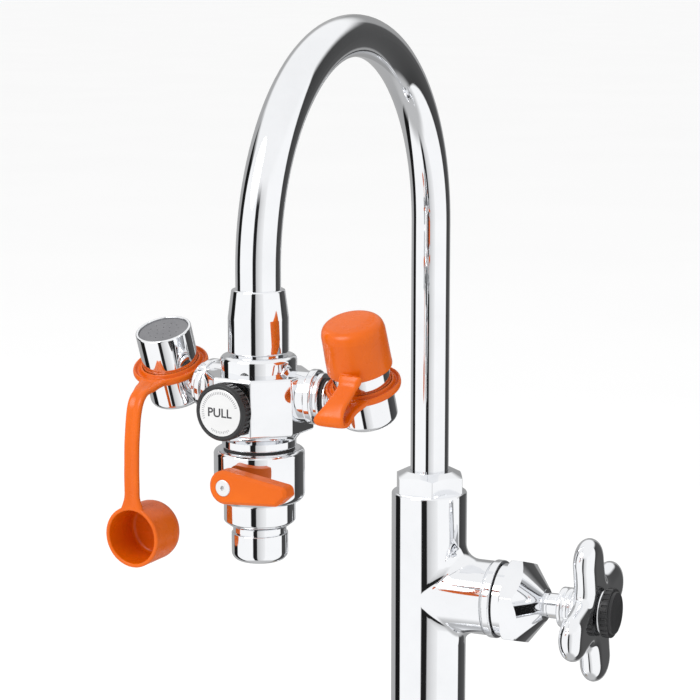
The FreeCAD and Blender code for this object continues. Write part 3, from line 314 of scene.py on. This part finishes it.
class Shell:
    """Closed skins gathered into one mesh, in millimetres."""

    def __init__(self):
        self.points = []
        self.faces = []

    def skin(self, rings, place=None, closed=False):
        """Joins equal rings of points into a tube. Its ends meet, or get a face each."""
        first, size = len(self.points), len(rings[0])
        for ring in rings:
            self.points += [place @ Vector(point) if place else Vector(point) for point in ring]
        for i in range(len(rings) - (0 if closed else 1)):
            here, there = first + i * size, first + (i + 1) % len(rings) * size
            for j in range(size):
                after = (j + 1) % size
                self.faces.append((here + j, here + after, there + after, there + j))
        if not closed:
            last = first + (len(rings) - 1) * size
            self.faces.append(tuple(range(first, first + size))[::-1])
            self.faces.append(tuple(range(last, last + size)))

    def made(self, name, place):
        """The mesh, in metres, in an object of its own."""
        mesh = bpy.data.meshes.new(name)
        mesh.from_pydata([tuple(point) for point in self.points], [], self.faces)
        shape = bmesh.new()
        shape.from_mesh(mesh)
        bmesh.ops.recalc_face_normals(shape, faces=shape.faces)
        shape.to_mesh(mesh)
        shape.free()
        mesh.transform(Matrix.Scale(MM, 4) @ place)
        mesh.shade_smooth()
        return add(name, mesh)


def melted(thing):
    """Remeshes the overlapping skins as one and softens their edges."""
    skin = thing.modifiers.new("skin", "REMESH")
    skin.mode = "VOXEL"
    skin.voxel_size = VOXEL * MM
    soft = thing.modifiers.new("soft", "SMOOTH")
    soft.factor = 0.5
    soft.iterations = SMOOTH_ROUNDS
    mesh = evaluated(thing)
    thing.modifiers.clear()
    thing.data = mesh
    mesh.shade_smooth()


def crumpled(thing):
    """Moulding unevenness, too small to change the fit."""
    for vertex in thing.data.vertices:
        spot = vertex.co / MM
        vertex.co += Vector(noise.noise_vector(spot * UNEVEN_SCALE)) * UNEVEN * MM


def make_rubber(shell, name):
    """One rubber piece from the skins, which are in the head's frame."""
    thing = shell.made(name, HEAD)
    melted(thing)
    crumpled(thing)
    paint(thing, materials["orange_rubber"])
    return thing


def turned(profile, count=128, shift=lambda radius, angle: radius):
    """Rings about Z for each (radius, height) of a profile. shift changes the radius by angle."""
    angles = [2 * math.pi * i / count for i in range(count)]
    return [
        [(shift(r, a) * math.cos(a), shift(r, a) * math.sin(a), z) for a in angles]
        for r, z in profile]


def arc(x, y, radius, start, stop, count=6):
    """Points of an arc about (x, y), in degrees."""
    angles = [math.radians(start + (stop - start) * i / count) for i in range(count + 1)]
    return [(x + radius * math.cos(a), y + radius * math.sin(a)) for a in angles]


def eased(points):
    """A smooth line through points."""
    ends = [points[0]] + points + [points[-1]]
    line = []
    for a, b, c, d in zip(ends, ends[1:], ends[2:], ends[3:]):
        for i in range(STRAP_STEPS):
            t = i / STRAP_STEPS
            line.append(tuple(
                0.5 * (2 * q + (r - p) * t + (2 * p - 5 * q + 4 * r - s) * t * t
                       + (3 * q - p - 3 * r + s) * t ** 3)
                for p, q, r, s in zip(a, b, c, d)))
    return line + [points[-1]]


def between(share, table):
    """The value at a share, from a table of (share, value), with soft steps."""
    for (a, low), (b, high) in zip(table, table[1:]):
        if share <= b:
            t = (share - a) / (b - a)
            return low + (high - low) * t * t * (3 - 2 * t)
    return table[-1][1]


def strap(points, widths, thicks, groove=0.45, ribs=(1.0, 1.0)):
    """Rings of a strap that lies across X and follows (x, y, z) points.

    A groove runs down its face, with three ribs instead between the two shares in ribs."""

    def squared(value, power):
        return math.copysign(abs(value) ** power, value)

    line = eased(points)
    rings = []
    for i, (x, y, z) in enumerate(line):
        share = i / (len(line) - 1)
        before, after = line[max(i - 1, 0)], line[min(i + 1, len(line) - 1)]
        along = Vector((0.0, after[1] - before[1], after[2] - before[2])).normalized()
        face = Vector((0.0, along.z, -along.y))
        half, deep = between(share, widths) / 2, between(share, thicks) / 2
        ring = []
        for j in range(STRAP_SIDES):
            angle = 2 * math.pi * j / STRAP_SIDES
            across = half * squared(math.cos(angle), STRAP_SQUARED[0])
            up = deep * squared(math.sin(angle), STRAP_SQUARED[1])
            if up > 0 and ribs[0] < share < ribs[1]:
                swell = math.sin(math.pi * (share - ribs[0]) / (ribs[1] - ribs[0]))
                up += RIB_HEIGHT * swell * (math.cos(3 * math.pi * across / half) - 0.4)
            elif up > 0:
                up -= groove * math.exp(-(across / (GROOVE_SPREAD * half)) ** 2)
            ring.append(tuple(Vector((x + across, y, z)) + face * up))
        rings.append(ring)
    return rings


def ring_rings(outer, ahead, away):
    """The gutter-shaped retaining ring: a lip on the nozzle, a groove and a rounded bead.

    It is stretched ahead by that much, and on the side where away is the sign of x."""
    wide = outer - RING_BORE
    profile = [(RING_BORE + share * wide, RING_FOOT + height) for share, height in RING_SECTION]

    def shift(radius, angle):
        share = (radius - RING_BORE) / wide
        front = max(0.0, -math.sin(angle)) ** 2
        side = max(0.0, away * math.cos(angle)) ** 2
        return radius + share * ahead * (front + side)

    return turned(profile, 160, shift)


def cap_rings(outer, wall, raised=0.0):
    """The thimble-shaped cap about Z with its mouth at z = 0."""
    inner = outer - wall
    top = CAP_TOP + raised
    return turned(
        [(AXIS_R, CAP_DEPTH)]
        + arc(inner - 1.8, CAP_DEPTH - CAP_INNER_ROUND, CAP_INNER_ROUND, 90, 0)
        + [(inner, 1.0)]
        + arc(inner + CAP_LIP_INNER, CAP_LIP_INNER, CAP_LIP_INNER, 180, 270, 3)
        + arc(outer - CAP_LIP_INNER, CAP_LIP_OUTER, CAP_LIP_OUTER, 270, 360, 3)
        + [(outer, 2.2), (outer - 0.2, top - CAP_ROUND - 0.2)]
        + arc(outer - CAP_TAPER - CAP_ROUND, top - CAP_ROUND, CAP_ROUND, 4, 90, 9)
        + [(outer * 0.45, top + 0.12), (AXIS_R, top + 0.16)])


def make_left_set():
    shell = Shell()
    shell.skin(ring_rings(LEFT_RING_R, 0.5, -1), nozzle_place(-1), closed=True)
    x = -NOZZLE_TOP[0]
    shell.skin(strap(
        [(x, -7.2, -44.3), (x, -12.1, -46.0), (x, -16.8, -47.6), (x, -20.0, -51.0),
         (x, -21.8, -57.5), (x, -23.0, -67.0), (x, -23.4, -78.0), (x, -23.3, -91.8)],
        [(0, 13.0), (0.14, 9.5), (0.30, 6.6), (0.6, 6.4), (0.93, 6.5), (1.0, 10.0)],
        [(0, 2.6), (0.3, 2.5), (0.9, 2.3), (1.0, 2.3)]))
    shell.skin(
        cap_rings(LEFT_CAP_R, LEFT_CAP_WALL),
        Matrix.Translation(LEFT_CAP_MOUTH) @ Matrix.Rotation(math.radians(-90), 4, "X"))
    thing = make_rubber(shell, "left_cap_on_strap")
    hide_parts("left_cap_ring", "left_strap", "left_cap")
    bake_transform(thing)


def make_right_set():
    """The strap is folded: its inner layer is one piece with the ring, its outer with the cap."""
    place = nozzle_place(1)
    shell = Shell()
    shell.skin(ring_rings(RIGHT_RING_R, 0.3, 1), place, closed=True)
    shell.skin(strap(
        [(3.2, -12.0, -15.4), (3.0, -15.6, -16.0), (2.0, -19.2, -16.9), (1.0, -22.4, -17.9),
         (0.3, -24.6, -18.0)],
        [(0, 11.0), (0.4, 8.4), (1.0, 12.0)], [(0, 2.4), (1.0, 2.2)], 0.3), place)
    under = make_rubber(shell, "right_ring_and_strap")
    shell = Shell()
    shell.skin(strap(
        [(0.5, -23.6, -18.0), (0.2, -25.2, -17.9), (0.0, -26.9, -16.6), (0.3, -26.7, -14.2),
         (1.4, -23.2, -11.6), (2.6, -18.6, -9.2), (3.3, -14.6, -7.2), (3.4, -12.3, -4.8)],
        [(0, 12.0), (0.35, 12.6), (0.62, 8.6), (0.8, 7.8), (0.92, 9.0), (1.0, 9.4)],
        [(0, 2.2), (0.8, 2.3), (0.92, 3.1), (1.0, 2.6)], 0.3, (0.0, 0.6)), place)
    shell.skin(
        cap_rings(RIGHT_CAP_R, RIGHT_CAP_WALL, RIGHT_CAP_RAISED),
        place @ Matrix.Translation((0.0, 0.0, RIGHT_CAP_Z)))
    over = make_rubber(shell, "right_cap_on_strap")
    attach(under, "gooseneck")
    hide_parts("right_cap_ring", "right_strap")
    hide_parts("right_cap")
    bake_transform(over)


# Cast handle and knob face

def handle_outline(angle):
    """Distance from the handle's axis to its edge: four round-ended lobes with filled corners."""
    offset = abs((math.degrees(angle) - HANDLE_TURN + 45) % 90 - 45)
    lean = math.radians(max(offset, 0.01))
    middle = HANDLE_TIP - LOBE_HALF
    near = LOBE_HALF / math.sin(lean)
    if lean < LOBE_END:
        near = middle * math.cos(lean) + math.sqrt(LOBE_HALF ** 2 - (middle * math.sin(lean)) ** 2)
    neighbour = LOBE_HALF / math.cos(lean)
    return (near ** CORNER_POWER + neighbour ** CORNER_POWER) ** (1 / CORNER_POWER)


def make_handle():
    """One smooth casting: grooved hub behind, four crowned lobes, a low round boss in front."""
    angles = [2 * math.pi * i / HANDLE_SIDES for i in range(HANDLE_SIDES)]
    edge = [Vector((math.cos(a), math.sin(a))) * handle_outline(a) for a in angles]
    inward = []
    for i in range(HANDLE_SIDES):
        along = edge[(i + 1) % HANDLE_SIDES] - edge[i - 1]
        inward.append(Vector((-along.y, along.x)).normalized())
    deep = [min(LOBE_ROUNDING, spot.length - HANDLE_CORE_R) for spot in edge]
    middle, half = LOBE_BACK + LOBE_THICK / 2, LOBE_THICK / 2

    def circle(radius, x):
        return [(radius * math.cos(a), radius * math.sin(a), x) for a in angles]

    def rim(lean):
        """The edge's rounding: 0 is the outline, 90 degrees its inner end."""
        ring = []
        for spot, way, depth in zip(edge, inward, deep):
            place = spot + way * depth * (1 - math.cos(lean))
            ring.append((place.x, place.y, middle - half * math.sin(lean)))
        return ring

    def web(share, side):
        """Between the core circle and the rounding's inner end."""
        ring = []
        for a, spot, way, depth in zip(angles, edge, inward, deep):
            start = Vector((math.cos(a), math.sin(a))) * HANDLE_CORE_R
            place = start.lerp(spot + way * depth, share)
            ring.append((place.x, place.y, middle + side * half))
        return ring

    rings = [circle(radius, x) for radius, x in HUB_PROFILE]
    rings += [web(i / 6, -1) for i in range(1, 6)]
    rings += [rim(math.radians(90 - 7.5 * i)) for i in range(25)]
    rings += [web(1 - i / 6, 1) for i in range(1, 6)]
    rings += [circle(radius, x) for radius, x in BOSS_PROFILE]
    shell = Shell()
    shell.skin(rings)
    upright = Matrix(((0, 0, 1, 0), (0, 1, 0, 0), (-1, 0, 0, BRANCH_HEIGHT), (0, 0, 0, 1)))
    thing = shell.made("handle_casting", upright)
    paint(thing, materials["chrome"])
    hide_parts("cross_handle")
    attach(thing, "handle")


def make_knob_face():
    """The plain word on the knob's disc, and a ring of fine ticks."""
    face = (
        HEAD @ Matrix.Translation((0.0, -KNOB_DISC_FACE, SPOOL_Z))
        @ Matrix.Rotation(math.pi / 2, 4, "X"))

    letters = bpy.data.curves.new("word", "FONT")
    letters.body = "PULL"
    letters.align_x, letters.align_y = "CENTER", "CENTER"
    letters.size = WORD_SIZE
    letters.extrude = WORD_DEPTH
    letters.offset = WORD_WEIGHT
    flat = add("word", letters)
    mesh = evaluated(flat)
    bpy.data.objects.remove(flat)
    xs = [vertex.co.x for vertex in mesh.vertices]
    ys = [vertex.co.y for vertex in mesh.vertices]
    middle = Vector(((max(xs) + min(xs)) / 2, (max(ys) + min(ys)) / 2, 0.0))
    stretch = Matrix.Scale(WORD_WIDTH / (max(xs) - min(xs)), 4, (1, 0, 0))
    mesh.transform(stretch @ Matrix.Translation(-middle))
    mesh.transform(Matrix.Scale(MM, 4) @ face)
    word = add("knob_word", mesh)

    shell = Shell()
    for first, last in TICK_SPANS:
        for degrees in range(first, last + 1, TICK_STEP):
            angle = math.radians(degrees)
            out = Vector((math.cos(angle), math.sin(angle), 0.0))
            side = Vector((-out.y, out.x, 0.0)) * TICK_HALF_WIDTH
            low, high = out * TICK_START, out * TICK_ENDS[1 if degrees % (2 * TICK_STEP) else 0]
            corners = (low - side, high - side, high + side, low + side)
            shell.skin([
                [tuple(corner + Vector((0, 0, lift))) for corner in corners]
                for lift in (-TICK_HALF_DEPTH, TICK_HALF_DEPTH)])
    ticks = shell.made("knob_ticks", face)
    ticks.data.shade_flat()

    for thing, ink, slot in (
            (word, "dark_ink", "black_plastic"), (ticks, "grey_ink", "grey_plastic")):
        paint(thing, materials[ink])
        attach(thing, "diverter")


# Surroundings

def make_world():
    """A white room for the eye and for soft light, and a striped studio in the polished metal."""
    room = bpy.data.worlds.new("studio")
    bpy.context.scene.world = room
    room.use_nodes = True
    room.node_tree.nodes.clear()
    nodes = Nodes(room.node_tree)

    axes = nodes.node("ShaderNodeSeparateXYZ")
    nodes.feed(axes.inputs[0], nodes.node("ShaderNodeTexCoord").outputs["Generated"])
    ahead = nodes.calculated("MULTIPLY", axes.outputs["Y"], -1.0)
    azimuth = nodes.calculated("ARCTAN2", axes.outputs["X"], ahead)
    turns = nodes.calculated(
        "DIVIDE", nodes.calculated("SUBTRACT", azimuth, CAMERA_AZIMUTH), 2 * math.pi)
    share = nodes.calculated("FRACT", nodes.calculated("ADD", turns, 0.5))

    bands = nodes.node("ShaderNodeValToRGB")
    nodes.feed(bands.inputs[0], share)
    ramp = bands.color_ramp
    ramp.elements.remove(ramp.elements[1])
    ramp.elements[0].position = 0.0
    ramp.elements[0].color = (*[STRIPES[0][1]] * 3, 1.0)
    for angle, grey in STRIPES[1:]:
        ramp.elements.new((angle + 180) / 360).color = (grey, grey, grey, 1.0)

    def change(span, before, grey):
        factor = nodes.mapped(axes.outputs["Z"], span, interpolation_type="SMOOTHSTEP")
        return nodes.mixed(factor, before, (grey, grey, grey))

    studio = change(WHITE_ABOVE, bands.outputs["Color"], 1.0)
    studio = change(GREY_BELOW, studio, GROUND_GREY)
    rays = nodes.node("ShaderNodeLightPath")
    background = nodes.node("ShaderNodeBackground")
    nodes.feed(
        background.inputs["Color"],
        nodes.mixed(rays.outputs["Is Glossy Ray"], (1.0, 1.0, 1.0), studio))
    output = nodes.node("ShaderNodeOutputWorld")
    nodes.feed(output.inputs["Surface"], background.outputs[0])


def make_floor():
    mesh = bpy.data.meshes.new("floor")
    corners = [(-1, -1), (1, -1), (1, 1), (-1, 1)]
    mesh.from_pydata(
        [(x * FLOOR_HALF, y * FLOOR_HALF, FLOOR_Z) for x, y in corners], [], [(0, 1, 2, 3)])
    floor = add("floor", mesh)
    shader = Shader("floor_paint", Roughness=0.9, Specular_IOR_Level=0.0)
    shader.colour(shader.noise(FLOOR_SCALE), (0.955, 0.955, 0.955), (0.945, 0.945, 0.945))
    paint(floor, shader.material)
    floor.visible_glossy = False


def make_light():
    lamp = bpy.data.lights.new("key", "AREA")
    lamp.shape = "DISK"
    lamp.size = LAMP_SIZE
    lamp.energy = LAMP_POWER
    key = add("key", lamp)
    key.location = LAMP_AT
    aim = Vector(LAMP_AIM) - Vector(LAMP_AT)
    key.rotation_euler = aim.to_track_quat("-Z", "Y").to_euler()


def make_camera():
    lens = bpy.data.cameras.new("camera")
    lens.lens = CAMERA_LENS
    lens.sensor_width = CAMERA_SENSOR
    lens.clip_start = 0.01
    lens.clip_end = 100.0
    camera = add("camera", lens)
    camera.location = CAMERA_AT
    camera.rotation_euler = (math.pi / 2 - CAMERA_PITCH, 0.0, CAMERA_TURN)
    bpy.context.scene.camera = camera
    bpy.context.scene.view_settings.view_transform = "Standard"


materials = {name: metal(name, *finish) for name, finish in METALS.items()}
materials.update({name: moulded(name, *finish) for name, finish in MOULDED.items()})
for row in frame["record"]["subparts"]:
    paint(frame["nodes"][row["node"]], materials[row["material_slot"]])
paint(frame["nodes"]["lever_screw"], materials["white_disc"])

noise.seed_set(UNEVEN_SEED)
make_left_set()
make_right_set()
make_handle()
make_knob_face()
make_world()
make_floor()
make_light()
make_camera()
